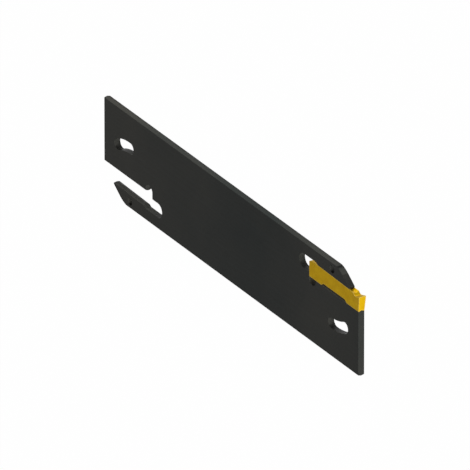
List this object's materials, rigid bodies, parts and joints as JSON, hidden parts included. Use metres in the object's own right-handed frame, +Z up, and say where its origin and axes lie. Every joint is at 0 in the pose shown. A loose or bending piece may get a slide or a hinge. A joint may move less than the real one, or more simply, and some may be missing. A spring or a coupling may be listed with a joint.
{
  "type": "parting blade",
  "caption": "Flat parting blade of blackened steel with V-ground long edges and a slotted spring pocket at each end, gripping a gold-coated cutting insert; clamps in a tool block.",
  "frame": {"origin": "centre of the blade's flat underside, with the blade lying flat", "axes": "+X along the blade towards the end that holds the insert, +Y across its height towards the long edge on the insert's side, +Z up through its thickness"},
  "size_m": [0.1507, 0.032, 0.0025],
  "materials": {
    "blade": "black oxide over ground tool steel, satin",
    "insert": "gold-coloured hard coating on sintered carbide, satin"
  },
  "bodies": {
    "root": {"blade": "blade", "insert": "insert"}
  },
  "joints": []
}
